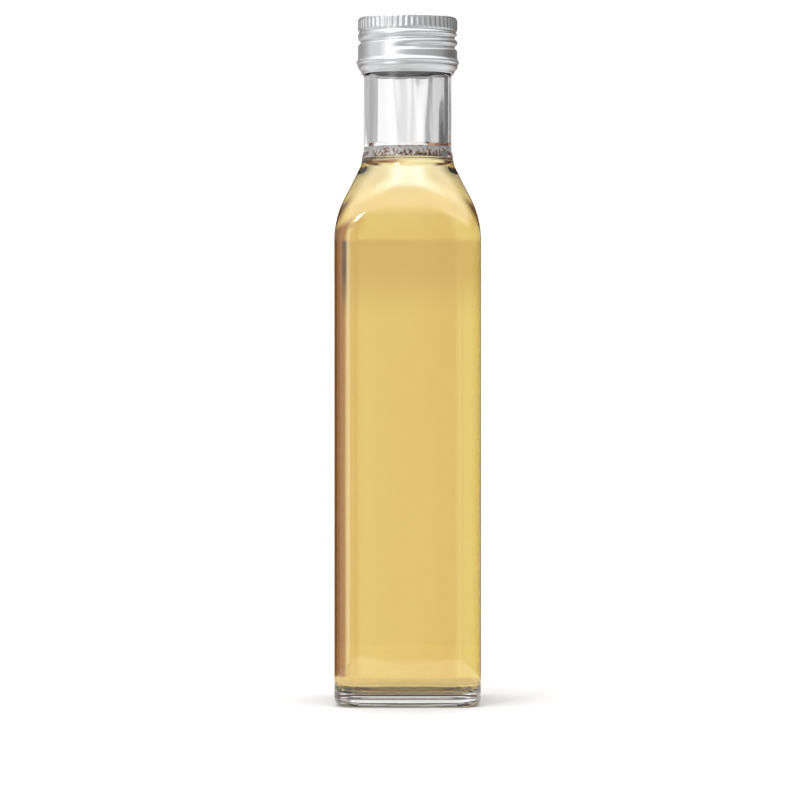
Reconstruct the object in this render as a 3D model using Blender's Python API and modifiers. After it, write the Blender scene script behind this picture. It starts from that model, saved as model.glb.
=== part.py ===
"""A square glass bottle of golden vinegar with a rolled aluminium screw cap.

The bottle stands on the ground plane with its axis on Z. Four solids make it: the clear glass bottle
with its threaded mouth, the vinegar that fills it to the foot of the neck, the froth that floats on
the vinegar, and the cap that is rolled over the glass thread. All sizes are in metres.
"""

import math
import random

import bmesh
import bpy
from mathutils import Vector

MM = 0.001

# Glass bottle
BODY_SIDE = 46.5 * MM
BODY_CORNER = 6.0 * MM
SHOULDER_FOOT = 148.0 * MM
SHOULDER_HEAD = 172.0 * MM
SHOULDER_SLOPE = math.radians(26.0)
SHOULDER_CREASE = 155.2 * MM
SHOULDER_ROUND = 33.0 * MM
NECK_FOOT_RADIUS = 14.7 * MM
NECK_ROUND = 8.0 * MM
NECK_RADIUS = 14.15 * MM
NECK_EVEN_ABOVE = 181.0 * MM
MOUTH = 217.9 * MM
HEEL_ROUND = 3.0 * MM
FOOT_WIDTH = 3.2 * MM
PUSH_UP = 1.3 * MM
COLLAR_RADIUS = 15.1 * MM
COLLAR_BOTTOM = 203.4 * MM
COLLAR_TOP = 205.6 * MM
LIP_ROUND = 0.9 * MM

# Hollow of the bottle
WALL = 3.2 * MM
HOLLOW_CORNER = 5.0 * MM
HOLLOW_FLOOR = 4.2 * MM
FLOOR_RISE = 0.5 * MM
FLOOR_ROUND = 3.0 * MM
NECK_WALL = 2.8 * MM
HOLLOW_SHOULDER_ROUND = 30.0 * MM
HOLLOW_NECK_ROUND = 10.0 * MM

# Vinegar and froth
FIT_GAP = 0.3 * MM
VINEGAR_LEVEL = 175.5 * MM
FROTH_DEPTH = 1.1 * MM
BUBBLES = 34
BUBBLE_SIZES = (0.75 * MM, 1.15 * MM)
BUBBLE_RISE = 1.9 * MM

# Cap
CAP_TOP = 219.4 * MM
CAP_RADIUS = 16.0 * MM
CAP_SKIN = 0.5 * MM
CAP_EDGE_ROUND = 1.0 * MM
CAP_STEPS = 48
THREADED_TOP = 213.9 * MM
THREADED_STEP = 0.7 * MM
THREADED_STEPS = 9
FLUTES = 56
FLUTE_DEPTH = 0.3 * MM
FLUTED_TOP = 218.6 * MM
FLUTED_BOTTOM = 215.4 * MM
BEAD_HEIGHT = 205.0 * MM
BEAD_RADIUS = 16.55 * MM
LIP_BOTTOM = 201.2 * MM
LIP_RADIUS = 14.9 * MM

# Thread, shared by the glass ridge and the groove rolled into the cap
PITCH = 3.0 * MM
GROOVE_AT_ZERO = 206.85 * MM
GROOVE_DEPTH = 0.9 * MM
GROOVE_HALF_WIDTH = 1.25 * MM
GROOVE_TURNS = (0.68, 2.4)
GROOVE_FADE = 0.12
RIDGE_RADIUS = 0.85 * MM
RIDGE_TURNS = (0.15, 1.9)
RIDGE_STEPS_A_TURN = 24

POINTS_A_CORNER = 10
ARC_STEPS = 4


def clear_scene():
    for obj in list(bpy.data.objects):
        bpy.data.objects.remove(obj, do_unlink=True)


def collection(name):
    made = bpy.data.collections.new(name)
    bpy.context.scene.collection.children.link(made)
    return made


def material(name, colour, roughness, metallic=0.0, transmission=0.0):
    made = bpy.data.materials.new(name)
    made.use_nodes = True
    shader = made.node_tree.nodes["Principled BSDF"]
    shader.inputs["Base Color"].default_value = (*colour, 1.0)
    shader.inputs["Roughness"].default_value = roughness
    shader.inputs["Metallic"].default_value = metallic
    shader.inputs["Transmission Weight"].default_value = transmission
    return made


def arc(centre, radius, start, end, steps=ARC_STEPS):
    """Points of a round stretch of an outline, as (distance from the axis, height), from one angle to another."""
    angles = [start + (end - start) * i / steps for i in range(steps + 1)]
    return [(centre[0] + radius * math.cos(a), centre[1] + radius * math.sin(a)) for a in angles]


def shoulder_outline(half, neck, crease, slope, body_round, neck_round):
    """The rise from the body's side to the neck: out of the vertical by one arc, up a slope, back by another."""
    reach = math.tan(slope / 2)
    head = crease + (half - neck) / math.tan(slope)
    body_arc = arc((half - body_round, crease - body_round * reach), body_round, 0, slope)
    neck_arc = arc((neck + neck_round, head + neck_round * reach), neck_round, math.pi + slope, math.pi)
    return body_arc + neck_arc


def outer_outline():
    """The glass from the middle of its underside, up the outside, to the rim of the mouth."""
    half = BODY_SIDE / 2
    foot = half - HEEL_ROUND
    inner_foot = foot - FOOT_WIDTH
    push_up = [(inner_foot - 4 * PUSH_UP, PUSH_UP), (inner_foot - 0.8 * PUSH_UP, 0.8 * PUSH_UP), (inner_foot, 0)]
    heel = arc((foot, HEEL_ROUND), HEEL_ROUND, -math.pi / 2, 0)
    shoulder = shoulder_outline(
        half, NECK_FOOT_RADIUS, SHOULDER_CREASE, SHOULDER_SLOPE, SHOULDER_ROUND, NECK_ROUND
    )
    collar_step = COLLAR_RADIUS - NECK_RADIUS
    finish = [
        (NECK_RADIUS, NECK_EVEN_ABOVE),
        (NECK_RADIUS, COLLAR_BOTTOM - collar_step / 2),
        (COLLAR_RADIUS, COLLAR_BOTTOM + collar_step / 2),
        (COLLAR_RADIUS, COLLAR_TOP - collar_step / 2),
        (NECK_RADIUS, COLLAR_TOP + collar_step / 2),
    ]
    rim = arc((NECK_RADIUS - LIP_ROUND, MOUTH - LIP_ROUND), LIP_ROUND, 0, math.pi / 2, 3)
    return push_up + heel + shoulder + finish + rim


def hollow_outline():
    """The hollow from the middle of its floor up to the mouth."""
    half = BODY_SIDE / 2 - WALL
    neck = NECK_RADIUS - NECK_WALL
    floor = [(half - 3 * FLOOR_ROUND, HOLLOW_FLOOR + FLOOR_RISE)]
    corner = arc((half - FLOOR_ROUND, HOLLOW_FLOOR + FLOOR_ROUND), FLOOR_ROUND, -math.pi / 2, 0)
    crease = SHOULDER_CREASE - NECK_WALL * math.tan(SHOULDER_SLOPE / 2)
    shoulder = shoulder_outline(
        half, neck, crease, SHOULDER_SLOPE, HOLLOW_SHOULDER_ROUND, HOLLOW_NECK_ROUND
    )
    rim = arc((neck + LIP_ROUND, MOUTH - LIP_ROUND), LIP_ROUND, math.pi, math.pi / 2, 3)
    return floor + corner + shoulder + rim


def corner_radius(height, half, body_corner):
    """The vertical edges are tight on the body and open out over the shoulder until the section is round."""
    share = (height - SHOULDER_FOOT) / (SHOULDER_HEAD - SHOULDER_FOOT)
    share = min(max(share, 0.0), 1.0)
    share = share * share * (3 - 2 * share)
    return min(half, body_corner + (half - body_corner) * share)


def section(half, corner, height):
    """One level of the bottle: a square with rounded corners, or a circle where the corners meet."""
    ring = []
    reach = corner / math.cos(math.radians(45 / POINTS_A_CORNER))
    for quadrant in range(4):
        middle = math.radians(90 * quadrant + 45)
        offset = (half - corner) * math.sqrt(2)
        centre = Vector((offset * math.cos(middle), offset * math.sin(middle), height))
        for i in range(POINTS_A_CORNER):
            angle = math.radians(90 * (quadrant + (i + 0.5) / POINTS_A_CORNER))
            ring.append(centre + reach * Vector((math.cos(angle), math.sin(angle), 0)))
    return ring


def loft(name, rings, finish, target):
    """One closed skin through rings of equal count, with a flat end at each side. No modifier lofts sections."""
    mesh = bmesh.new()
    loops = [[mesh.verts.new(point) for point in ring] for ring in rings]
    for lower, upper in zip(loops, loops[1:]):
        for i in range(len(lower)):
            j = (i + 1) % len(lower)
            mesh.faces.new((lower[i], lower[j], upper[j], upper[i]))
    mesh.faces.new(reversed(loops[0]))
    mesh.faces.new(loops[-1])
    return add_object(name, mesh, finish, target)


def add_object(name, mesh, finish, target):
    data = bpy.data.meshes.new(name)
    mesh.to_mesh(data)
    mesh.free()
    data.shade_smooth()
    data.set_sharp_from_angle(angle=math.radians(40))
    data.materials.append(finish)
    made = bpy.data.objects.new(name, data)
    target.objects.link(made)
    return made


def settled_mesh(obj):
    """A plain mesh of an object as its modifiers or curve settings leave it, with the curve's caps welded on."""
    bpy.context.view_layer.update()
    evaluated = obj.evaluated_get(bpy.context.evaluated_depsgraph_get())
    data = bpy.data.meshes.new_from_object(evaluated)
    mesh = bmesh.new()
    mesh.from_mesh(data)
    mesh.transform(obj.matrix_world)
    bmesh.ops.remove_doubles(mesh, verts=mesh.verts, dist=1e-6)
    bpy.data.meshes.remove(data)
    bpy.data.objects.remove(obj, do_unlink=True)
    return mesh


def turned(name, outline, steps, target):
    """A profile of (distance from the axis, height) turned about Z with a Screw modifier, as a mesh."""
    data = bpy.data.meshes.new(name)
    points = [(radius, 0, height) for radius, height in outline]
    data.from_pydata(points, [(i, i + 1) for i in range(len(points) - 1)], [])
    obj = bpy.data.objects.new(name, data)
    target.objects.link(obj)
    screw = obj.modifiers.new("turn", "SCREW")
    screw.steps = screw.render_steps = steps
    screw.use_merge_vertices = True
    screw.merge_threshold = 0.00001
    return settled_mesh(obj)


def join(base, helpers):
    """Fuses all that the helpers hold into one object with a single Boolean union, and removes them."""
    union = base.modifiers.new("join", "BOOLEAN")
    union.operation = "UNION"
    union.operand_type = "COLLECTION"
    union.collection = helpers
    bpy.context.view_layer.update()
    evaluated = base.evaluated_get(bpy.context.evaluated_depsgraph_get())
    joined = bpy.data.meshes.new_from_object(evaluated)
    base.modifiers.clear()
    base.data = joined
    for piece in list(helpers.objects):
        bpy.data.objects.remove(piece, do_unlink=True)
    joined.shade_smooth()
    joined.set_sharp_from_angle(angle=math.radians(40))


def thread_height(turns):
    """Middle of the groove rolled into the cap, by turns about the axis. The glass ridge runs half a pitch above."""
    return GROOVE_AT_ZERO + PITCH * turns


def glass_thread(finish, target):
    """The ridge round the mouth that the cap grips, thinning to nothing at both ends."""
    data = bpy.data.curves.new("thread", "CURVE")
    data.dimensions = "3D"
    data.bevel_depth = RIDGE_RADIUS
    data.bevel_resolution = 1
    data.use_fill_caps = True
    start, end = RIDGE_TURNS
    count = round((end - start) * RIDGE_STEPS_A_TURN)
    spline = data.splines.new("POLY")
    spline.points.add(count)
    for i, point in enumerate(spline.points):
        turns = start + (end - start) * i / count
        angle = 2 * math.pi * turns
        height = thread_height(turns) + PITCH / 2
        point.co = (NECK_RADIUS * math.cos(angle), NECK_RADIUS * math.sin(angle), height, 1)
        point.radius = min(1.0, 0.45 + 2 * min(turns - start, end - turns) * 4)
    obj = bpy.data.objects.new("thread", data)
    target.objects.link(obj)
    add_object("thread", settled_mesh(obj), finish, target)


def glass_bottle(finish, target, helpers):
    """The bottle is one skin: outside from the underside to the rim, then back down the hollow to its floor."""
    outside = [section(half, corner_radius(z, half, BODY_CORNER), z) for half, z in outer_outline()]
    inside = [section(half, corner_radius(z, half, HOLLOW_CORNER), z) for half, z in hollow_outline()]
    bottle = loft("glass_bottle", outside + inside[::-1], finish, target)
    glass_thread(finish, helpers)
    join(bottle, helpers)


def inset(outline, distance):
    """An outline moved inwards, square to itself, for a filling that stays clear of the glass."""
    moved = []
    for i, (radius, height) in enumerate(outline):
        before, after = outline[max(i - 1, 0)], outline[min(i + 1, len(outline) - 1)]
        along = Vector((after[0] - before[0], after[1] - before[1])).normalized()
        moved.append((radius - along.y * distance, height + along.x * distance))
    return moved


def vinegar(finish, target):
    """The drink fills the hollow, a hair clear of the glass, up to its level at the foot of the neck."""
    filled = [point for point in inset(hollow_outline(), FIT_GAP) if point[1] < VINEGAR_LEVEL - MM]
    filled.append((NECK_RADIUS - NECK_WALL - FIT_GAP + 0.05 * MM, VINEGAR_LEVEL))
    rings = [section(half, corner_radius(z, half, HOLLOW_CORNER - FIT_GAP), z) for half, z in filled]
    loft("vinegar", rings, finish, target)


def bubble(index, place, radius, finish, helpers):
    mesh = bmesh.new()
    bmesh.ops.create_icosphere(mesh, subdivisions=1, radius=radius)
    bmesh.ops.translate(mesh, verts=mesh.verts, vec=place)
    add_object(f"bubble_{index}", mesh, finish, helpers)


def froth(finish, target, helpers):
    """A thin raft of foam with its larger bubbles crowded against the glass."""
    draw = random.Random(7)
    edge = NECK_RADIUS - NECK_WALL - FIT_GAP
    bottom = VINEGAR_LEVEL + FIT_GAP
    top = bottom + FROTH_DEPTH
    outline = [(0, top), (0.6 * edge, top), (edge, top + 0.4 * MM), (edge, bottom), (0, bottom)]
    mesh = turned("froth", outline, 4 * POINTS_A_CORNER, helpers)
    raft = add_object("froth", mesh, finish, target)
    for i in range(BUBBLES):
        radius = draw.uniform(*BUBBLE_SIZES)
        angle = 2 * math.pi * (i + draw.uniform(-0.2, 0.2)) / BUBBLES
        reach = edge - radius - draw.uniform(0.05, 0.5) * MM
        height = top + draw.uniform(0.0, 1.0) * (BUBBLE_RISE - radius)
        place = Vector((reach * math.cos(angle), reach * math.sin(angle), height))
        bubble(i, place, radius, finish, helpers)
    join(raft, helpers)


def cap_outline():
    """The cap's shell from the middle of its top, down the outside, round the rolled lip and back up inside."""
    band = CAP_RADIUS - FLUTE_DEPTH - 0.1 * MM
    corner = arc((band - CAP_EDGE_ROUND, CAP_TOP - CAP_EDGE_ROUND), CAP_EDGE_ROUND, math.pi / 2, 0, 3)
    wall = [(band, THREADED_TOP + 0.4 * MM)]
    wall += [(CAP_RADIUS, THREADED_TOP - i * THREADED_STEP) for i in range(THREADED_STEPS + 1)]
    bead = [
        (CAP_RADIUS, BEAD_HEIGHT + 0.9 * MM),
        (BEAD_RADIUS, BEAD_HEIGHT + 0.2 * MM),
        (BEAD_RADIUS, BEAD_HEIGHT - 0.15 * MM),
        (CAP_RADIUS + 0.12 * MM, BEAD_HEIGHT - 0.65 * MM),
    ]
    lip = [
        (CAP_RADIUS + 0.12 * MM, BEAD_HEIGHT - 1.5 * MM),
        (CAP_RADIUS - 0.15 * MM, BEAD_HEIGHT - 2.2 * MM),
        (LIP_RADIUS + 0.3 * MM, LIP_BOTTOM + 1.0 * MM),
        (LIP_RADIUS + 0.05 * MM, LIP_BOTTOM + 0.5 * MM),
        (LIP_RADIUS, LIP_BOTTOM),
    ]
    inner_lip = [
        (LIP_RADIUS - 0.35 * MM, LIP_BOTTOM),
        (LIP_RADIUS - 0.35 * MM, LIP_BOTTOM + 0.9 * MM),
        (CAP_RADIUS - CAP_SKIN, BEAD_HEIGHT - 1.6 * MM),
        (CAP_RADIUS - CAP_SKIN, BEAD_HEIGHT + 0.9 * MM),
    ]
    inner_wall = [(radius - CAP_SKIN, height) for radius, height in reversed(wall)]
    ceiling = CAP_TOP - 2.2 * CAP_SKIN
    top = [(band - CAP_SKIN, ceiling), (0, ceiling)]
    return [(0, CAP_TOP)] + corner + wall + bead + lip + inner_lip + inner_wall + top


def groove_depth(point):
    """How far the roller pressed the shell in at this point of the thread."""
    turned_by = math.atan2(point.y, point.x) / (2 * math.pi) % 1
    start, end = GROOVE_TURNS
    depth = 0.0
    for whole in range(4):
        turns = turned_by + whole
        fade = min(1.0, max(0.0, min(turns - start, end - turns) / GROOVE_FADE))
        off = abs(point.z - thread_height(turns)) / GROOVE_HALF_WIDTH
        if off < 1:
            depth = max(depth, fade * GROOVE_DEPTH * (0.5 + 0.5 * math.cos(math.pi * off)))
    return depth


def press_thread(mesh):
    """Presses the spiral groove into both faces of the cap's shell."""
    for vertex in mesh.verts:
        if vertex.co.z > FLUTED_BOTTOM:
            continue
        radius = math.hypot(vertex.co.x, vertex.co.y)
        share = (radius - groove_depth(vertex.co)) / radius
        vertex.co.x *= share
        vertex.co.y *= share


def fluted_band(finish, helpers):
    """The grip round the top of the cap: a flat outline with flutes, as thick as the band is high."""
    data = bpy.data.curves.new("fluted_band", "CURVE")
    data.dimensions = "2D"
    data.fill_mode = "BOTH"
    data.extrude = (FLUTED_TOP - FLUTED_BOTTOM) / 2
    spline = data.splines.new("POLY")
    shares = ((0.0, 1), (0.35, 1), (0.675, 0))
    spline.points.add(FLUTES * len(shares) - 1)
    spline.use_cyclic_u = True
    for i, point in enumerate(spline.points):
        along, crest = shares[i % len(shares)]
        angle = 2 * math.pi * (i // len(shares) + along) / FLUTES
        radius = CAP_RADIUS if crest else CAP_RADIUS - FLUTE_DEPTH
        point.co = (radius * math.cos(angle), radius * math.sin(angle), 0, 1)
    obj = bpy.data.objects.new("fluted_band", data)
    obj.location.z = (FLUTED_TOP + FLUTED_BOTTOM) / 2
    helpers.objects.link(obj)
    disc = add_object("fluted_band", settled_mesh(obj), finish, helpers)
    bore = bmesh.new()
    bmesh.ops.create_cone(
        bore,
        cap_ends=True,
        segments=CAP_STEPS,
        radius1=CAP_RADIUS - 1.4 * CAP_SKIN,
        radius2=CAP_RADIUS - 1.4 * CAP_SKIN,
        depth=3 * (FLUTED_TOP - FLUTED_BOTTOM),
    )
    bmesh.ops.translate(bore, verts=bore.verts, vec=(0, 0, (FLUTED_TOP + FLUTED_BOTTOM) / 2))
    cutter = add_object("fluted_band_bore", bore, finish, helpers)
    cutter.hide_render = True
    cutter.display_type = "WIRE"
    cut = disc.modifiers.new("bore", "BOOLEAN")
    cut.operation = "DIFFERENCE"
    cut.object = cutter
    ring = settled_mesh(disc)
    bpy.data.objects.remove(cutter, do_unlink=True)
    add_object("fluted_band", ring, finish, helpers)


def cap(finish, target, helpers):
    """A thin aluminium shell: fluted grip, thread rolled over the glass, bead and lip tucked under the collar."""
    mesh = turned("cap", cap_outline(), CAP_STEPS, helpers)
    press_thread(mesh)
    shell = add_object("cap", mesh, finish, target)
    fluted_band(finish, helpers)
    join(shell, helpers)


def main():
    clear_scene()
    parts = collection("vinegar_bottle")
    helpers = collection("helpers")
    flint_glass = material("flint_glass", (0.95, 0.96, 0.95), 0.02, transmission=1.0)
    golden_vinegar = material("golden_vinegar", (0.80, 0.55, 0.16), 0.02, transmission=0.8)
    pale_froth = material("pale_froth", (0.78, 0.68, 0.56), 0.25)
    satin_aluminium = material("satin_aluminium", (0.80, 0.80, 0.81), 0.32, metallic=1.0)
    glass_bottle(flint_glass, parts, helpers)
    vinegar(golden_vinegar, parts)
    froth(pale_froth, parts, helpers)
    cap(satin_aluminium, parts, helpers)
    bpy.data.collections.remove(helpers)


main()
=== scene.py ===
# %% [markdown]
# # A square bottle of golden vinegar
# The bottle is made here the way a prop maker would build it for a studio picture: real glass with a
# wall of its own, a drink that touches the inside of that wall, froth that floats on the drink, and a
# cap of thin rolled aluminium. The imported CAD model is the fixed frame. It says where each piece goes,
# so nothing has to be fitted by eye afterwards.

# %% The fixed frame
import math
import random

import bmesh
import bpy
from mathutils import Matrix, Vector, noise


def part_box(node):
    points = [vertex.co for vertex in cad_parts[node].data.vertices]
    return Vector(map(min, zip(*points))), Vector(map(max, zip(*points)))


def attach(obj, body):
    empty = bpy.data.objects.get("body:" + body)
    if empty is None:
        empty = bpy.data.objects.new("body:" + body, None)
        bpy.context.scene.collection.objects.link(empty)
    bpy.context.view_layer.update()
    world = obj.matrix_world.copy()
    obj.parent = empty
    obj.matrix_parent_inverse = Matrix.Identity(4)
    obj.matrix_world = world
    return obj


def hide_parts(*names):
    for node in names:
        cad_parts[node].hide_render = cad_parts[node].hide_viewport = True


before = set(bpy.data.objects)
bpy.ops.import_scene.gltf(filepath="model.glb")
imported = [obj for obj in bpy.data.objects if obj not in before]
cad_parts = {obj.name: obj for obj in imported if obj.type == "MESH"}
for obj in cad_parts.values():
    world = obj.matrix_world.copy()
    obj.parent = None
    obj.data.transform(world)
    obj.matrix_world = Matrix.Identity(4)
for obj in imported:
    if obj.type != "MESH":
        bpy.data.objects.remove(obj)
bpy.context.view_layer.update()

glass_low, glass_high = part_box("glass_bottle")
vinegar_low, vinegar_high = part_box("vinegar")
froth_low, froth_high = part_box("froth")
cap_low, cap_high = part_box("cap")
mm = 0.001
print("the drink goes from", round(vinegar_low.z / mm, 1), "to", round(vinegar_high.z / mm, 1), "mm")
print("the froth goes from", round(froth_low.z / mm, 1), "to", round(froth_high.z / mm, 1), "mm")

# %% [markdown]
# The camera comes first, because every later choice is judged through it. The photograph was taken
# from about a metre away with a long lens, square to the bottle's front and level with the middle of
# its height. A long lens keeps the upright edges upright.

# %% The camera
camera_distance = 1061 * mm
camera_height = 106.4 * mm
aim_height = 96.75 * mm
aim_aside = -2.44 * mm
lens_mm = 148.5


def aim(thing, target):
    """Turns a camera or a light so that it looks at a point."""
    thing.rotation_mode = "QUATERNION"
    thing.rotation_quaternion = (target - thing.location).to_track_quat("-Z", "Y")


camera = bpy.data.objects.new("camera", bpy.data.cameras.new("camera"))
bpy.context.scene.collection.objects.link(camera)
camera.data.lens = lens_mm
camera.location = (0, -camera_distance, camera_height)
aim(camera, Vector((aim_aside, 0, aim_height)))
bpy.context.scene.camera = camera
print("the camera stands at", [round(place / mm) for place in camera.location], "mm")

# %% [markdown]
# Colours are written as the hex values that a paint program shows. Blender's shaders count light, so
# one function turns each of them to linear values. One more function adds a node, gives it its
# settings and links what feeds it, and all the materials and the studio light are built with it.

# %% Colours and nodes


def linear(hex_colour):
    """The light that an sRGB hex colour stands for, with full alpha."""
    shares = [int(hex_colour[i : i + 2], 16) / 255 for i in (1, 3, 5)]
    light = [s / 12.92 if s <= 0.04045 else ((s + 0.055) / 1.055) ** 2.4 for s in shares]
    return (*light, 1.0)


def add_node(tree, kind, settings=None, inputs=None):
    """A node of one kind, with its settings, and its inputs set to values or linked to other outputs."""
    made = tree.nodes.new(kind)
    for name, value in (settings or {}).items():
        setattr(made, name, value)
    for name, value in (inputs or {}).items():
        if isinstance(value, bpy.types.NodeSocket):
            tree.links.new(value, made.inputs[name])
        else:
            made.inputs[name].default_value = value
    return made


def ramp(tree, value, stops):
    """Soft steps of colour along a value from 0 to 1. Each stop is a place and a colour or a grey."""
    made = add_node(tree, "ShaderNodeValToRGB", inputs={"Fac": value})
    made.color_ramp.interpolation = "EASE"
    elements = made.color_ramp.elements
    while len(elements) < len(stops):
        elements.new(0.5)
    for element, (place, colour) in zip(elements, stops):
        element.position = place
        element.color = colour if isinstance(colour, tuple) else (colour, colour, colour, 1.0)
    return made.outputs["Color"]


def new_material(name, principled):
    """A material with one Principled shader, and the tree to add patterns to."""
    made = bpy.data.materials.new(name)
    made.use_nodes = True
    shader = made.node_tree.nodes["Principled BSDF"]
    for socket, value in principled.items():
        shader.inputs[socket].default_value = value
    return made, made.node_tree, shader


print("the grey #808080 stands for", round(linear("#808080")[0], 3), "of full light")

# %% [markdown]
# Clear glass and drinks show little of themselves. What the eye reads is the room, bent through them,
# so a glass picture is lit by its background. A bright screen stands straight behind the bottle, a
# touch cooler on its left than on its right, and cloths in brown and dark red hang beside it. Those
# draw the edges of the glass. Others stand at the sides and in front.

# %% The cloths and screens
white_room = 1.15
ceiling = 1.8
brown = linear("#c0936c")
dark_brown = linear("#a1754e")
dark_red = linear("#5f2f1d")
cool = (1.22, 1.33, 1.42, 1.0)
warm = (1.08, 0.99, 0.86, 1.0)
cool_dim = (1.0, 0.97, 0.96, 1.0)
warm_dim = (0.96, 0.87, 0.79, 1.0)
glow = (1.45, 1.85, 3.6, 1.0)
glow_side = (1.35, 1.6, 2.7, 1.0)
glow_end = (1.2, 1.3, 1.6, 1.0)
print("the brown cloth gives back", [round(light, 2) for light in brown[:3]])

# %% [markdown]
# The room is described in bands, one above the other. Each band lists directions round the bottle, in
# degrees from straight behind it and growing to the right, with the light that comes from there. The
# lists for the left, the right and the front are shared, since only what is behind the bottle changes
# much with the height.

# %% Left, right and in front
front_left = [(-180, 0.58), (-160, 0.70), (-126, 0.85), (-104, 0.70)]
front_left += [(-97, 1.10), (-83, 1.10), (-74, 0.50)]
right_front = [(75, 0.12), (100, 0.35), (122, 0.40), (152, 0.46), (180, 0.58)]
red_cloth_left = [(-60, dark_red), (-32, dark_red)]
low_left = [(-180, 0.40), (-110, 0.60), (-85, 1.00), (-48, 0.85), (-38, dark_red), (-23, dark_red)]
low_right = [(23, dark_red), (38, dark_red), (48, 0.85), (85, 1.00)]
low_right += [(110, 0.90), (150, 0.85), (180, 0.40)]
print("the front takes", len(front_left + right_front), "of the 32 stops that a ramp can hold")

# %% [markdown]
# Below the table's height the light comes from a pale floor. A cool glow lies on it behind the bottle:
# the sloping shoulders look down at it, and the gold of the drink turns it to cream. The screen is seen
# through the straight body. Its upper part is a little duller, which the top of the body shows, and a
# black line hangs in it, which ends up along the left edge of the drink. The neck looks at pale and grey
# stripes. A dark cloth over the screen closes the drink with a dark line at its foot.

# %% The bands of light
light_floor = [(-180, 0.40), (-110, 0.60), (-85, 1.05), (-45, 1.10), (-34, 0.80), (-18, 1.10)]
light_floor += [(18, 1.10), (34, 0.80), (45, 1.10), (85, 1.05), (110, 0.90), (150, 0.85), (180, 0.40)]
floor_glow = low_left + [(-15, 1.15), (-10, glow_end), (-6, glow_side), (-3, glow)]
floor_glow += [(3, glow), (6, glow_side), (10, glow_end), (15, 1.15)] + low_right
far_floor = low_left + [(-15, 1.15), (15, 1.15)] + low_right
screen = front_left + red_cloth_left + [(-22, 1.22), (-4, cool), (-0.6, cool), (0.7, warm)]
screen += [(5.0, 0.95), (7.6, brown), (10.2, brown), (13, dark_brown), (22, dark_brown)]
screen += [(30, dark_red), (60, dark_red)] + right_front
screen_top = front_left + red_cloth_left + [(-22, 0.92), (-4, cool_dim), (-0.6, cool_dim)]
screen_top += [(0.7, warm_dim), (4.2, 0.75), (5.1, 0.03), (8.2, 0.03), (9.2, brown), (10.2, brown)]
screen_top += [(13, dark_brown), (22, dark_brown), (30, dark_red), (60, dark_red)] + right_front
stripes = front_left + [(-44, 0.42), (-18, 0.50), (-12, 1.05), (-3, 1.05), (-1.2, 0.84), (1.0, 0.78)]
stripes += [(2.2, 1.0), (3.8, 0.98), (5.2, 0.42), (9.5, 0.36), (12, 0.72), (22, 0.76), (28, 0.16)]
stripes += right_front
dark_cloth = front_left + [(-40, 0.42), (-28, dark_red), (28, dark_red), (36, 0.14)] + right_front
print("the screen has", len(screen), "stops, and its upper part", len(screen_top))

# %% [markdown]
# Each band blends into the next one above it between two elevations, in degrees, and the last one
# blends into a bright ceiling. The camera itself sees a plain white room in every direction, as when
# the background of such a picture is cut out afterwards.

# %% The studio light
bands = [light_floor, floor_glow, far_floor, screen, screen_top, stripes, dark_cloth, stripes]
blends = [(-23, -18.5), (-18.5, -14.5), (-11, -5), (0.8, 2.0), (2.9, 3.4), (7.0, 9.0), (16, 22)]
ceiling_blend = (30, 48)
world = bpy.data.worlds.new("studio")
bpy.context.scene.world = world
world.use_nodes = True
tree = world.node_tree
direction = add_node(tree, "ShaderNodeTexCoord").outputs["Generated"]
parts = add_node(tree, "ShaderNodeSeparateXYZ", inputs={"Vector": direction})
turn = add_node(
    tree,
    "ShaderNodeMath",
    {"operation": "ARCTAN2"},
    {0: parts.outputs["X"], 1: parts.outputs["Y"]},
)
turn_share = add_node(
    tree,
    "ShaderNodeMapRange",
    inputs={"Value": turn.outputs[0], "From Min": -math.pi, "From Max": math.pi},
)


def band_light(stops):
    """The light of one band of the room, all the way round."""
    places = [((angle + 180) / 360, shade) for angle, shade in stops]
    return ramp(tree, turn_share.outputs[0], places)


def blend_up(lower, upper, start, end):
    """One band over another, blended between two elevations in degrees."""
    low, high = math.sin(math.radians(start)), math.sin(math.radians(end))
    blend = add_node(
        tree,
        "ShaderNodeMapRange",
        {"interpolation_type": "SMOOTHSTEP"},
        {"Value": parts.outputs["Z"], "From Min": low, "From Max": high},
    )
    mixed = add_node(
        tree,
        "ShaderNodeMix",
        {"data_type": "RGBA"},
        {"Factor": blend.outputs["Result"], "A": lower, "B": upper},
    )
    return mixed.outputs["Result"]


light = band_light(bands[0])
for band, (start, end) in zip(bands[1:], blends):
    light = blend_up(light, band_light(band), start, end)
light = blend_up(light, (ceiling, ceiling, ceiling, 1.0), *ceiling_blend)
seen = add_node(
    tree,
    "ShaderNodeMix",
    {"data_type": "RGBA"},
    {
        "Factor": add_node(tree, "ShaderNodeLightPath").outputs["Is Camera Ray"],
        "A": light,
        "B": (white_room, white_room, white_room, 1.0),
    },
)
tree.links.new(seen.outputs["Result"], tree.nodes["Background"].inputs["Color"])
bpy.context.scene.view_settings.view_transform = "Standard"
print("the room has", len(bands), "bands of light under its ceiling")

# %% [markdown]
# The table is a small round one in matt white paint. The bottle stands near its far edge, so that the
# screen is seen through the glass down to its foot.

# %% The table top
table_radius = 135 * mm
table_middle = (0, -65 * mm, 0)
sheet = bmesh.new()
bmesh.ops.create_circle(
    sheet,
    cap_ends=True,
    segments=128,
    radius=table_radius,
    matrix=Matrix.Translation(table_middle),
)
floor = bpy.data.objects.new("table_top", bpy.data.meshes.new("table_top"))
sheet.to_mesh(floor.data)
sheet.free()
bpy.context.scene.collection.objects.link(floor)
paint, tree, shader = new_material("matt_white_paint", {"Roughness": 0.8, "Specular IOR Level": 0.2})
shader.inputs["Base Color"].default_value = linear("#f4f4f3")
floor.data.materials.append(paint)
print("the table is", round(2 * table_radius / mm), "mm across")

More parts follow.
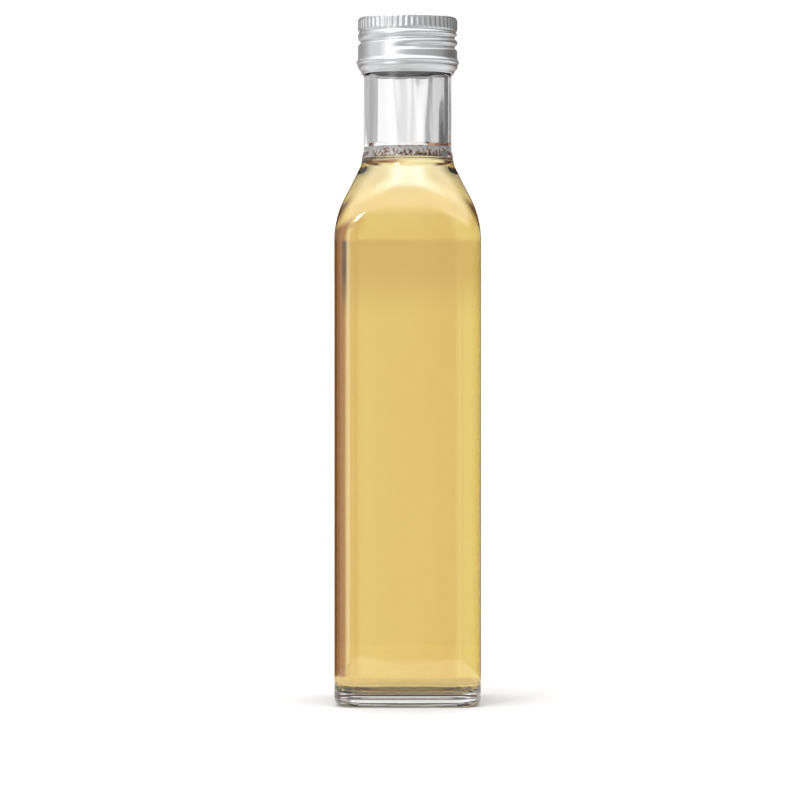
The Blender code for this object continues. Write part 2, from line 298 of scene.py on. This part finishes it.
# %% [markdown]
# One tall soft box stands in front, a little to the left. It gives the pale line down the bottle's
# left corner and the bright side of the cap. A small one above it gives the round spots on the
# shoulder. The camera doesn't see them.

# %% The soft boxes
lit_point = Vector((0, 0, 0.15))
for name, width, height, watts, stand in (
    ("tall_soft_box", 450 * mm, 900 * mm, 1.7, (-0.63, -0.78, 0.20)),
    ("small_soft_box", 260 * mm, 220 * mm, 2.0, (-0.50, -0.85, 1.05)),
):
    box = bpy.data.objects.new(name, bpy.data.lights.new(name, "AREA"))
    bpy.context.scene.collection.objects.link(box)
    box.data.shape = "RECTANGLE"
    box.data.size = width
    box.data.size_y = height
    box.data.energy = watts
    box.location = stand
    box.visible_camera = False
    aim(box, lit_point)
    print(name, "stands", round(box.location.length / mm), "mm away")

# %% [markdown]
# The body is a square with rounded corners, the neck is a circle, and the shoulder changes one into
# the other as it narrows. A shape like that is a loft: one ring of points is drawn up step by step,
# and each step gives the ring its own section. The points stay at fixed directions from the axis,
# closer together where the corners turn. So one function only has to say how far the wall is from the
# axis in each direction.

# %% The section in each direction
body_half = (glass_high.x - glass_low.x) / 2
body_corner = 6.3 * mm
shoulder_foot = 148.0 * mm
shoulder_head = 172.0 * mm
side_turn = math.radians(37)
steps_a_side = 20
steps_a_corner = 16


def ring_directions():
    """Directions round the axis, from the middle of one side to the next, closer at the corners."""
    half_side = [side_turn * i / (steps_a_side / 2) for i in range(steps_a_side // 2)]
    corner_span = math.pi / 2 - 2 * side_turn
    corner = [side_turn + corner_span * i / steps_a_corner for i in range(steps_a_corner)]
    rest = [math.pi / 2 - side_turn + turn for turn in half_side]
    quarters = [quarter * math.pi / 2 for quarter in range(4)]
    return [start + turn for start in quarters for turn in half_side + corner + rest]


def wall_distance(direction, half, corner):
    """How far a square with rounded corners reaches from its middle in one direction."""
    from_side = abs((direction + math.pi / 4) % (math.pi / 2) - math.pi / 4)
    flat = half - corner
    if half * math.tan(from_side) <= flat:
        return half / math.cos(from_side)
    along = flat * (math.cos(from_side) + math.sin(from_side))
    return along + math.sqrt(max(along * along - 2 * flat * flat + corner * corner, 0.0))


def share_of(value, start, length):
    """0 up to the start, 1 past the length, and growing evenly in between."""
    return min(max((value - start) / length, 0.0), 1.0)


def corner_at(height, half, low_corner):
    """The corners are tight on the body and open over the shoulder until the section is round."""
    share = share_of(height, shoulder_foot, shoulder_head - shoulder_foot)
    share = share * share * (3 - 2 * share)
    return min(half, low_corner + (half - low_corner) * share)


print("each ring has", len(ring_directions()), "points")

# %% [markdown]
# The skin is drawn up from the lowest ring to the highest with one extrusion a step. A relief can then
# push the wall in or out a little in any direction and at any height, for what a plain section doesn't
# have, such as a thread or the unevenness of blown glass.

# %% Drawing up a skin


def draw_up(levels, low_corner, relief):
    """A skin drawn through (half width, height) levels from one ring, closed flat at both ends."""
    skin = bmesh.new()
    directions = ring_directions()
    bmesh.ops.create_circle(skin, segments=len(directions), radius=1.0)
    skin.verts.ensure_lookup_table()
    for vertex, direction in zip(skin.verts, directions):
        vertex.co = (math.cos(direction), math.sin(direction), 0)
    ring, edges = list(skin.verts), list(skin.edges)
    for number, (half, height) in enumerate(levels):
        if number:
            grown = bmesh.ops.extrude_edge_only(skin, edges=edges)["geom"]
            ring = [part for part in grown if isinstance(part, bmesh.types.BMVert)]
            fresh = set(ring)
            grown_edges = [part for part in grown if isinstance(part, bmesh.types.BMEdge)]
            edges = [edge for edge in grown_edges if fresh.issuperset(edge.verts)]
        corner = corner_at(height, half, low_corner)
        for vertex in ring:
            direction = math.atan2(vertex.co.y, vertex.co.x)
            reach = wall_distance(direction, half, corner) + relief(direction, height)
            vertex.co = (reach * math.cos(direction), reach * math.sin(direction), height)
    bmesh.ops.holes_fill(skin, edges=skin.edges, sides=len(directions))
    bmesh.ops.recalc_face_normals(skin, faces=skin.faces)
    return skin


def finish_piece(name, shape, material, stands_for):
    """Makes an object of a finished mesh, smooth, at the origin, riding on the bottle."""
    data = bpy.data.meshes.new(name)
    shape.to_mesh(data)
    shape.free()
    data.shade_smooth()
    piece = bpy.data.objects.new(name, data)
    bpy.context.scene.collection.objects.link(piece)
    piece.data.materials.append(material)
    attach(piece, "root")
    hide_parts(stands_for)
    triangles = sum(len(face.vertices) - 2 for face in data.polygons)
    print(name, "has", triangles, "triangles")


# %% [markdown]
# The outlines are what a glass maker's drawing would show: heel, side, shoulder, neck, the collar
# that the cap grips under, and the rounded lip. Round stretches are arcs, and the shoulder is two of
# them with a straight slope between.

# %% Arcs, straights and the shoulder
shoulder_slope = math.radians(26.0)
steps_of_low_arc, steps_of_high_arc = 14, 9


def arc(middle, radius, start, end, steps):
    """Points of a round stretch, as (distance from the axis, height), from one angle to another."""
    turns = [start + (end - start) * i / steps for i in range(steps + 1)]
    return [(middle[0] + radius * math.cos(t), middle[1] + radius * math.sin(t)) for t in turns]


def straight(start, end, step):
    """Points between two places of an outline, without the places themselves."""
    count = max(int(math.dist(start, end) / step), 1)
    return [
        (start[0] + (end[0] - start[0]) * i / count, start[1] + (end[1] - start[1]) * i / count)
        for i in range(1, count)
    ]


def shoulder(half, neck, crease, low_round, high_round):
    """From the body's side to the neck: out of the upright by one arc, up a slope, back by another."""
    lean = math.tan(shoulder_slope / 2)
    head = crease + (half - neck) / math.tan(shoulder_slope)
    low_middle = (half - low_round, crease - low_round * lean)
    low = arc(low_middle, low_round, 0, shoulder_slope, steps_of_low_arc)
    high_middle = (neck + high_round, head + high_round * lean)
    high = arc(high_middle, high_round, math.pi + shoulder_slope, math.pi, steps_of_high_arc)
    return low + straight(low[-1], high[0], 1.2 * mm) + high


print("the shoulder leans", round(math.degrees(shoulder_slope)), "degrees from the upright")

# %% [markdown]
# The outside takes its form from a steel mould, so it is exact. The bottle stands on a flat rim, and
# the middle of its underside is pushed up, so that it can't rock on a table that isn't quite even.

# %% The outside of the glass
hub = 1 * mm
neck_radius = 14.15 * mm
neck_foot_radius = 14.7 * mm
neck_even_above = 177.0 * mm
shoulder_crease = 155.2 * mm
shoulder_round, neck_foot_round = 33 * mm, 9 * mm
heel_round = 3.0 * mm
foot_width = 3.2 * mm
foot_edge = 0.6 * mm
push_up = 1.3 * mm
push_up_round = 1.6 * mm
collar_radius = 15.1 * mm
collar_low, collar_high = 202.9 * mm, 206.1 * mm
collar_round = 0.5 * mm
mouth = glass_high.z
lip_round = 1.0 * mm
thread_step = 0.45 * mm


def outside_of_glass():
    """From the middle of the underside, up the outside, to the top of the lip."""
    foot = body_half - heel_round
    inner_foot = foot - foot_width
    under = [(hub, push_up), (inner_foot - 3 * mm, push_up)]
    under_middle = (inner_foot - 2.2 * mm, push_up - push_up_round)
    under += arc(under_middle, push_up_round, math.pi / 2, math.radians(25), 5)
    under += [(inner_foot, 0.0), (inner_foot + foot_edge, 0.0), (foot - foot_edge, 0.0)]
    heel = arc((foot, heel_round), heel_round, -math.pi / 2, 0, 10)
    rise = shoulder(body_half, neck_foot_radius, shoulder_crease, shoulder_round, neck_foot_round)
    side = straight(heel[-1], rise[0], 9 * mm)
    neck = [(neck_radius, neck_even_above)]
    neck += straight(neck[-1], (neck_radius, collar_low), 2.5 * mm)
    step = collar_radius - neck_radius
    collar_middle = collar_radius - collar_round
    collar = arc((collar_middle, collar_low + step), collar_round, -math.pi / 2, 0, 4)
    collar += arc((collar_middle, collar_high - step), collar_round, 0, math.pi / 2, 4)
    finish = [(neck_radius, collar_low)] + collar + [(neck_radius, collar_high)]
    finish += straight(finish[-1], (neck_radius, mouth - lip_round), thread_step)
    lip = arc((neck_radius - lip_round, mouth - lip_round), lip_round, 0, math.pi / 2, 6)
    return under + heel + side + rise + neck + finish + lip


print("the outline of the outside has", len(outside_of_glass()), "points")

# %% [markdown]
# The inside was blown with air against the mould, so it follows the outside at the thickness of the
# wall, with softer turns. The floor is thicker, because the glass sinks there while it is hot. The
# drink is drawn from the same outline later, a touch into the wall.

# %% The inside of the glass
corner_wall = 2.0 * mm
neck_wall = 2.8 * mm
hollow_floor = 4.2 * mm
floor_round = 3.5 * mm
hollow_corner = 4.3 * mm
hollow_shoulder_round, hollow_neck_round = 30 * mm, 15 * mm
throat = neck_radius - neck_wall


def inside_of_glass(into=0.0):
    """From the middle of the hollow's floor up to the top of the lip, or that much into the wall."""
    half = body_half - corner_wall
    neck = throat + into
    bottom = hollow_floor - into
    crease = shoulder_crease - (neck_wall - into) * math.tan(shoulder_slope / 2)
    floor = [(hub, bottom + 0.3 * mm), (half - floor_round - 4 * mm, bottom + 0.2 * mm)]
    middle = (half - floor_round, hollow_floor + floor_round)
    floor_corner = arc(middle, floor_round + into, -math.pi / 2, 0, 16)
    rise = shoulder(half + into, neck, crease, hollow_shoulder_round, hollow_neck_round)
    side = straight(floor_corner[-1], rise[0], 6 * mm)
    upright = straight(rise[-1], (neck, mouth - lip_round), 2.5 * mm)
    lip = arc((neck + lip_round, mouth - lip_round), lip_round, math.pi, math.pi / 2, 6)
    return floor + floor_corner + side + rise + upright + lip


print("the outline of the inside has", len(inside_of_glass()), "points")

# %% [markdown]
# Blown glass is never quite even. Its inside swells slowly over the body, the flats are a touch thicker
# than the corners, and streaks run up the neck, which is why bright backgrounds shimmer through an
# empty neck. The outside only has the thread, the ridge that the cap is rolled round. One function
# makes the spiral, since the cap's groove has the same form, a little wider and half a turn lower.

# %% What strays from the plain outlines
flat_wall = 2.1 * mm
flat_reach = 16 * mm
floor_gap, floor_fade = 12 * mm, 20 * mm
head_gap, head_fade, neck_fade = 6 * mm, 26 * mm, 8 * mm
body_swell, swell_turns, swell_length = 0.10 * mm, 1.3, 45 * mm
neck_streak, streak_turns, streak_length = 0.22 * mm, 3.0, 30 * mm
streak_shift = 7
thread_pitch = 3.0 * mm
thread_fade = 0.12
ridge_foot = 208.35 * mm
ridge_half_width = 1.1 * mm
ridge_depth = 0.8 * mm
ridge_from, ridge_to = 0.15, 1.9


def blown(direction, height):
    """How far the blown inside strays: slow swells, flats thicker than corners, streaks in the neck."""
    x, y = math.cos(direction), math.sin(direction)
    in_neck = share_of(height, shoulder_head, neck_fade)
    in_body = share_of(height, floor_gap, floor_fade)
    on_body = in_body * share_of(shoulder_head - head_gap, height, head_fade)
    from_side = abs((direction + math.pi / 4) % (math.pi / 2) - math.pi / 4)
    along = min(math.tan(from_side) * body_half / flat_reach, 1.0)
    flat = (flat_wall - corner_wall) * math.cos(math.pi / 2 * along) ** 2
    swell = noise.noise(Vector((swell_turns * x, swell_turns * y, height / swell_length)))
    across = streak_turns * x + streak_shift
    streak = noise.noise(Vector((across, streak_turns * y, height / streak_length)))
    uneven = in_body * body_swell * swell * (1 - in_neck) + in_neck * neck_streak * streak
    return uneven - on_body * flat


def spiral(direction, height, foot, half_width, depth, first, last):
    """How deep a spiral is here. It runs from its first turn to its last and fades at both ends."""
    deepest = 0.0
    for whole in range(4):
        turns = direction / (2 * math.pi) % 1 + whole
        fade = share_of(min(turns - first, last - turns), 0, thread_fade)
        off = abs(height - (foot + thread_pitch * turns)) / half_width
        if off < 1:
            deepest = max(deepest, fade * depth * (0.5 + 0.5 * math.cos(math.pi * off)))
    return deepest


def thread_ridge(direction, height):
    """The ridge that the cap is rolled round, one and three quarter turns of it."""
    return spiral(
        direction, height, ridge_foot, ridge_half_width, ridge_depth, ridge_from, ridge_to
    )


print("the thread has", ridge_to - ridge_from, "turns and stands out", round(ridge_depth / mm, 1), "mm")

# %% [markdown]
# Flint glass, the clear kind, is soda lime: sand, soda and lime with the iron kept low. It bends light
# by 1.52, is polished smooth by the fire, and only looks faintly grey-green through a thick edge. That
# tint is a volume absorption, because it grows with the depth of glass that the light crosses.

# %% Flint glass
flint_glass, tree, shader = new_material(
    "soda_lime_flint_glass",
    {"Roughness": 0.0, "IOR": 1.52, "Transmission Weight": 1.0, "Base Color": (1.0, 1.0, 1.0, 1.0)},
)
tint = add_node(
    tree, "ShaderNodeVolumeAbsorption", inputs={"Color": linear("#e4efe8"), "Density": 6.0}
)
tree.links.new(tint.outputs["Volume"], tree.nodes["Material Output"].inputs["Volume"])
print(flint_glass.name, "has", len(tree.nodes), "nodes")

# %% [markdown]
# Now the two skins are drawn up. The rim that the bottle stands on gets fine ridges, as the moulds of
# such bottles leave them: they keep the hot glass off the belt that carries it away, and they break up
# the light along the foot.

# %% The two skins
foot_ridge = 0.45 * mm
foot_touch = 0.001 * mm
outer = draw_up(outside_of_glass(), body_corner, thread_ridge)
foot_points = [vertex for vertex in outer.verts if abs(vertex.co.z) < foot_touch]
foot_points.sort(key=lambda vertex: math.atan2(vertex.co.y, vertex.co.x))
for number, vertex in enumerate(foot_points):
    vertex.co.z += foot_ridge * (number // 2 % 2)
inner = draw_up(inside_of_glass(), hollow_corner, blown)
print("outside", len(outer.faces), "faces, inside", len(inner.faces), "faces")

# %% [markdown]
# The two skins are one piece of glass, joined along the lip. Each was closed flat at the lip for the
# moment, so those two lids come off and the open edges are bridged. The inner skin is turned so that
# its faces look into the hollow, out of the glass.

# %% The glass bottle
lid_zone = 0.1 * mm
lip_weld = 0.02 * mm
inner_data = bpy.data.meshes.new("inner_skin")
bmesh.ops.reverse_faces(inner, faces=inner.faces)
inner.to_mesh(inner_data)
inner.free()
outer.from_mesh(inner_data)
bpy.data.meshes.remove(inner_data)
lids = [
    face
    for face in outer.faces
    if len(face.verts) > 4 and face.calc_center_median().z > mouth - lid_zone
]
bmesh.ops.delete(outer, geom=lids, context="FACES_ONLY")
bmesh.ops.remove_doubles(outer, verts=outer.verts, dist=lip_weld)
lip_edges = [edge for edge in outer.edges if edge.is_boundary]
if lip_edges:
    bmesh.ops.bridge_loops(outer, edges=lip_edges)
print("open edges left:", sum(1 for edge in outer.edges if not edge.is_manifold))
finish_piece("blown_glass", outer, flint_glass, "glass_bottle")

# %% [markdown]
# Vinegar is water with a little colour from the wine or cider it was. Light that crosses it loses
# blue first and then green, so a thin layer is straw yellow, the full body is gold and the long way
# through an edge is red brown. That is again an absorption.

# %% Golden vinegar
vinegar_colour = (0.852, 0.684, 0.026, 1.0)
golden_vinegar, tree, shader = new_material(
    "golden_vinegar",
    {"Roughness": 0.0, "IOR": 1.34, "Transmission Weight": 1.0, "Base Color": (1.0, 1.0, 1.0, 1.0)},
)
loss = add_node(
    tree, "ShaderNodeVolumeAbsorption", inputs={"Color": vinegar_colour, "Density": 50.0}
)
tree.links.new(loss.outputs["Volume"], tree.nodes["Material Output"].inputs["Volume"])
print(golden_vinegar.name, "has", len(tree.nodes), "nodes")

# %% [markdown]
# The drink fills the inside of the glass up to its level, and reaches a touch into the wall: with a
# gap between them the eye would see a film of air, which a wet wall doesn't have. It ends a little
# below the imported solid's top, because the wet froth hangs into it there.

# %% The drink
into_wall = 0.15 * mm
froth_hang = 1.1 * mm
level = vinegar_high.z - froth_hang
last_ring_gap = 0.1 * mm


def drink_levels():
    """The inside of the glass up to the level, a touch into the wall."""
    filled = [point for point in inside_of_glass(into_wall) if point[1] < level - last_ring_gap]
    edge = filled[-1][0]
    return filled + [(reach, level) for reach in (edge, edge - 2 * mm, 5 * mm, hub)]


drink = draw_up(drink_levels(), hollow_corner, blown)
finish_piece("golden_vinegar", drink, golden_vinegar, "vinegar")

# %% [markdown]
# Froth is a thin wet layer with air in it. The bubbles crowd against the glass, where they stand in a
# few layers, and the middle has a single layer. They are drawn at random, and a place is kept only if
# it is free.

# %% Places for the bubbles
draw = random.Random(11)
froth_overlap = 0.1 * mm
froth_foot = level - froth_overlap
middle_depth, wall_climb = 1.7 * mm, 1.7 * mm
climb_width = 2.2 * mm
least_gap, gap_at_wall, gap_at_foot = 1.04, 1.1, 1.15
top_bulge = 0.25 * mm
wall_sizes_mm, middle_sizes_mm = (0.28, 0.7), (0.3, 0.7)
wall_band_mm = 1.2
middle_reach = throat - 3 * mm
attempts_at_wall, attempts_in_middle = 12000, 5000
bubbles = []


def try_bubble(radius, reach, height):
    """Keeps a bubble at a random place on a circle, unless it would run into one already kept."""
    angle = draw.uniform(0, 2 * math.pi)
    spot = Vector((reach * math.cos(angle), reach * math.sin(angle), height))
    if all((spot - other).length > least_gap * (radius + size) for other, size in bubbles):
        bubbles.append((spot, radius))


def froth_level(reach):
    """The height of the wet froth at a distance from the axis: low in the middle, up the wall."""
    climbing = max(1 - (throat - reach) / climb_width, 0.0)
    return froth_foot + middle_depth + wall_climb * climbing


for attempt in range(attempts_at_wall):
    radius = draw.uniform(*wall_sizes_mm) * mm
    reach = throat - gap_at_wall * radius - draw.uniform(0.0, wall_band_mm) * mm
    lowest = froth_foot + gap_at_foot * radius
    highest = froth_level(reach) + top_bulge - gap_at_wall * radius
    try_bubble(radius, reach, lowest + draw.random() * (highest - lowest))
print("against the glass:", len(bubbles), "bubbles")
for attempt in range(attempts_in_middle):
    radius = draw.uniform(*middle_sizes_mm) * mm
    reach = middle_reach * math.sqrt(draw.random())
    try_bubble(radius, reach, froth_foot + gap_at_foot * radius)
print("with the middle:", len(bubbles), "bubbles")

# %% [markdown]
# Froth scatters light as well as bending it, since between the bubbles that the eye can tell apart
# there are many too small to see. So the material lets a small part of the light through and turns
# the rest back as a soft pale tone. Specks of the drink show between the bubbles, about a millimetre
# apart. The colour is also painted darker towards the foot and paler towards the top. Part of that
# is the wetter foot, where more of the drink shows. Part is painted light: the bright glow of froth
# that is lit from behind.

# %% Wet froth
froth_skin, tree, shader = new_material(
    "wet_froth",
    {"Roughness": 0.08, "IOR": 1.34, "Transmission Weight": 0.12, "Base Color": linear("#f4ebe6")},
)
place = add_node(tree, "ShaderNodeTexCoord").outputs["Object"]
upward = add_node(tree, "ShaderNodeSeparateXYZ", inputs={"Vector": place}).outputs["Z"]
specks = add_node(
    tree, "ShaderNodeTexNoise", inputs={"Vector": place, "Scale": 1100.0, "Detail": 1.0}
)
# Painted light by height: the tone is darker at the foot and paler up the froth. Part of this is the
# wetter foot, and part is painted light for froth lit from behind.
climb = add_node(
    tree,
    "ShaderNodeMapRange",
    inputs={
        "Value": upward,
        "From Min": level,
        "From Max": level + 2.6 * mm,
        "To Min": -0.45,
        "To Max": 0.05,
    },
)
# The drink specks and the painted light by height together pick the tone.
specks_and_painted_light = add_node(
    tree,
    "ShaderNodeMath",
    {"operation": "MULTIPLY_ADD"},
    {0: specks.outputs["Fac"], 1: 1.6, 2: climb.outputs["Result"]},
)
tones = [(0.25, "#5d2f18"), (0.5, "#b08a6e"), (0.65, "#e6d8cf"), (0.85, "#fbf8f6")]
tones = [(tone_place, linear(tone)) for tone_place, tone in tones]
tree.links.new(ramp(tree, specks_and_painted_light.outputs[0], tones), shader.inputs["Base Color"])
print(froth_skin.name, "has", len(tree.nodes), "nodes")

# %% [markdown]
# The layer is a low round cake that wets the wall: a profile spun round the axis, with rings and steps
# small enough for the domes that the bubbles raise on it. Its rim follows the uneven inside of the
# glass.

# %% The cake of froth
rim = throat + into_wall
rings_of_cake = 36
steps_round_cake = 216
cake_height = 2 * mm
uneven_height, uneven_width = 0.15 * mm, 1.1 * mm
dome_share, dome_skin = 1.12, 0.05 * mm
rim_touch = 0.01 * mm
seam_weld = 0.002 * mm
profile = [(reach, froth_foot) for reach in (0.0, 0.5 * rim, rim)]
profile += [(rim, froth_foot + rise * mm) for rise in (0.5, 1.0, 1.5)]
profile += [(rim * (1 - i / rings_of_cake), froth_foot + cake_height) for i in range(rings_of_cake)]
profile += [(0.0, froth_foot + cake_height)]


def spin_round(profile, steps):
    """A skin turned from a profile of (distance from the axis, height) points."""
    skin = bmesh.new()
    points = [skin.verts.new((reach, 0, height)) for reach, height in profile]
    edges = [skin.edges.new(pair) for pair in zip(points, points[1:])]
    bmesh.ops.spin(
        skin,
        geom=points + edges,
        axis=(0, 0, 1),
        cent=(0, 0, 0),
        angle=2 * math.pi,
        steps=steps,
        use_merge=True,
    )
    bmesh.ops.remove_doubles(skin, verts=skin.verts, dist=seam_weld)
    return skin


def froth_top(x, y):
    """The height of the froth here: a wet floor that climbs the wall, with a dome over each bubble."""
    uneven = noise.noise(Vector((x, y, 0)) / uneven_width)
    top = froth_level(math.hypot(x, y)) + uneven_height * uneven
    for spot, radius in bubbles:
        away = (spot.x - x) ** 2 + (spot.y - y) ** 2
        dome = dome_share * radius + dome_skin
        if away < dome * dome:
            top = max(top, spot.z + math.sqrt(dome * dome - away))
    return top


foam = spin_round(profile, steps_round_cake)
for vertex in foam.verts:
    x, y, height = vertex.co
    reach = math.hypot(x, y)
    if height > froth_foot + 0.95 * cake_height:
        vertex.co.z = froth_top(x, y)
    if reach > rim - rim_touch:
        vertex.co.xy *= (reach + blown(math.atan2(y, x), vertex.co.z)) / reach
bmesh.ops.recalc_face_normals(foam, faces=foam.faces)
print("the cake of froth has", len(foam.faces), "faces")

# %% [markdown]
# Each bubble is a real hollow in the cake: a ball whose faces look inward, into its air. One ball with
# few faces is enough for all of them, moved and sized for each place.

# %% The bubbles
ball = bmesh.new()
bmesh.ops.create_uvsphere(ball, u_segments=8, v_segments=6, radius=1.0)
bmesh.ops.reverse_faces(ball, faces=ball.faces)
one_bubble = bpy.data.meshes.new("one_bubble")
ball.to_mesh(one_bubble)
ball.free()
for spot, radius in bubbles:
    where = Matrix.LocRotScale(spot, None, (radius, radius, radius))
    one_bubble.transform(where)
    foam.from_mesh(one_bubble)
    one_bubble.transform(where.inverted())
bpy.data.meshes.remove(one_bubble)
finish_piece("wet_froth", foam, froth_skin, "froth")

# %% [markdown]
# The cap is a cup of thin aluminium sheet. It is set on the bottle with a plain side, and rollers
# then press its thread round the glass thread and tuck its hem under the glass collar. The bead and
# the hem are the same all the way round, so the profile of the sheet has them from the start, and
# only what changes round the cap is pressed in afterwards.

# %% The profile of the cap
cap_radius = 16.0 * mm
cap_top = cap_high.z
sheet_thickness = 0.25 * mm
edge_round = 0.9 * mm
bead_radius = 16.55 * mm
bead_round = 0.62 * mm
bead_height = 205.0 * mm
top_reaches = (0, 5, 10, 14)
inner_hem = 14.62 * mm


def cap_outside():
    """The sheet's outside from the middle of the top to the end of the hem."""
    edge_middle = (cap_radius - 1.0 * mm, cap_top - edge_round)
    edge = arc(edge_middle, edge_round, math.pi / 2, 0.15, 6)
    grip = [(cap_radius, height * mm) for height in (218.3, 217.6, 216.9, 216.2, 215.6)]
    waist = [(cap_radius - 0.15 * mm, 215.2 * mm), (cap_radius - 0.42 * mm, 214.8 * mm)]
    waist += [(cap_radius - 0.42 * mm, 214.45 * mm), (cap_radius - 0.1 * mm, 214.1 * mm)]
    side = [(cap_radius, (213.8 - 0.3 * i) * mm) for i in range(26)]
    bead_middle = (bead_radius - bead_round, bead_height)
    bead = arc(bead_middle, bead_round, math.radians(68), math.radians(-55), 8)
    hem = [(16.1 * mm, 204.2 * mm), (16.12 * mm, 203.8 * mm), (16.08 * mm, 203.4 * mm)]
    hem += [(15.9 * mm, 203.0 * mm), (15.62 * mm, 202.65 * mm), (15.3 * mm, 202.35 * mm)]
    hem += [(15.05 * mm, 202.0 * mm), (14.93 * mm, 201.6 * mm), (14.9 * mm, cap_low.z)]
    top = [(reach * mm, cap_top) for reach in top_reaches]
    return top + edge + grip + waist + side + bead + hem


outside = cap_outside()
below_top = outside[len(top_reaches) :]
inside = [(max(reach - sheet_thickness, 0), height - 0.1 * mm) for reach, height in below_top]
cap_profile = outside + [(inner_hem, cap_low.z), (inner_hem, 202.2 * mm)]
cap_profile += [point for point in reversed(inside) if point[1] > 203.2 * mm]
cap_profile += [(0, cap_top - sheet_thickness)]
print("the profile of the cap has", len(cap_profile), "points")

# %% [markdown]
# The profile is spun round the axis, and then the rollers come: the spiral groove is pressed in
# between the turns of the glass thread, and the flutes of the grip are pressed in above the waist.

# %% Rolling the cap
flutes = 56
steps_a_flute = 6
flute_depth = 0.32 * mm
fluted_low, fluted_high = 215.3 * mm, 218.7 * mm
flute_fade = 0.35 * mm
groove_foot = 206.85 * mm
groove_half_width = 1.25 * mm
groove_depth = 0.9 * mm
groove_from, groove_to = 0.68, 2.4
pressed_from = 12 * mm
waist_height = 215 * mm


def groove(x, y, height):
    """How far the roller pressed the sheet in here, along its spiral."""
    direction = math.atan2(y, x)
    return spiral(
        direction, height, groove_foot, groove_half_width, groove_depth, groove_from, groove_to
    )


def flute(x, y, height):
    """How far the grip's flutes go in here: rounded crests with softer valleys between."""
    along = math.atan2(y, x) / (2 * math.pi) * flutes % 1
    rise = share_of(min(height - fluted_low, fluted_high - height), 0, flute_fade)
    return rise * flute_depth * (0.5 - 0.5 * math.cos(2 * math.pi * along)) ** 0.7


shell = spin_round(cap_profile, flutes * steps_a_flute)
for vertex in shell.verts:
    x, y, height = vertex.co
    reach = math.hypot(x, y)
    if reach > pressed_from:
        pressed = groove(x, y, height) if height < waist_height else flute(x, y, height)
        vertex.co.xy *= (reach - pressed) / reach
bmesh.ops.recalc_face_normals(shell, faces=shell.faces)
print("open edges left in the cap:", sum(1 for edge in shell.edges if not edge.is_manifold))

# %% [markdown]
# The sheet is plain aluminium with a satin finish, left in its own colour. Aluminium is a metal, so
# all that it shows is a blurred mirror of the room. The rolling mill and the rollers that pressed the
# thread leave fine lines round the cap, which stretch the blur a little, and handling dulls patches of
# a few millimetres.

# %% Satin aluminium
satin_aluminium, tree, shader = new_material(
    "satin_aluminium_sheet", {"Metallic": 1.0, "Roughness": 0.3, "Base Color": linear("#d9dadb")}
)
place = add_node(tree, "ShaderNodeTexCoord").outputs["Object"]
patches = add_node(
    tree, "ShaderNodeTexNoise", inputs={"Vector": place, "Scale": 260.0, "Detail": 3.0}
)
dullness = add_node(
    tree,
    "ShaderNodeMapRange",
    inputs={"Value": patches.outputs["Fac"], "To Min": 0.33, "To Max": 0.45},
)
stretched = add_node(
    tree, "ShaderNodeMapping", inputs={"Vector": place, "Scale": (120.0, 120.0, 5000.0)}
)
lines = add_node(
    tree,
    "ShaderNodeTexNoise",
    inputs={"Vector": stretched.outputs["Vector"], "Scale": 1.0, "Detail": 2.0},
)
marks = add_node(
    tree,
    "ShaderNodeBump",
    inputs={"Height": lines.outputs["Fac"], "Strength": 0.25, "Distance": 0.02 * mm},
)
tree.links.new(dullness.outputs["Result"], shader.inputs["Roughness"])
tree.links.new(marks.outputs["Normal"], shader.inputs["Normal"])
finish_piece("rolled_cap", shell, satin_aluminium, "cap")
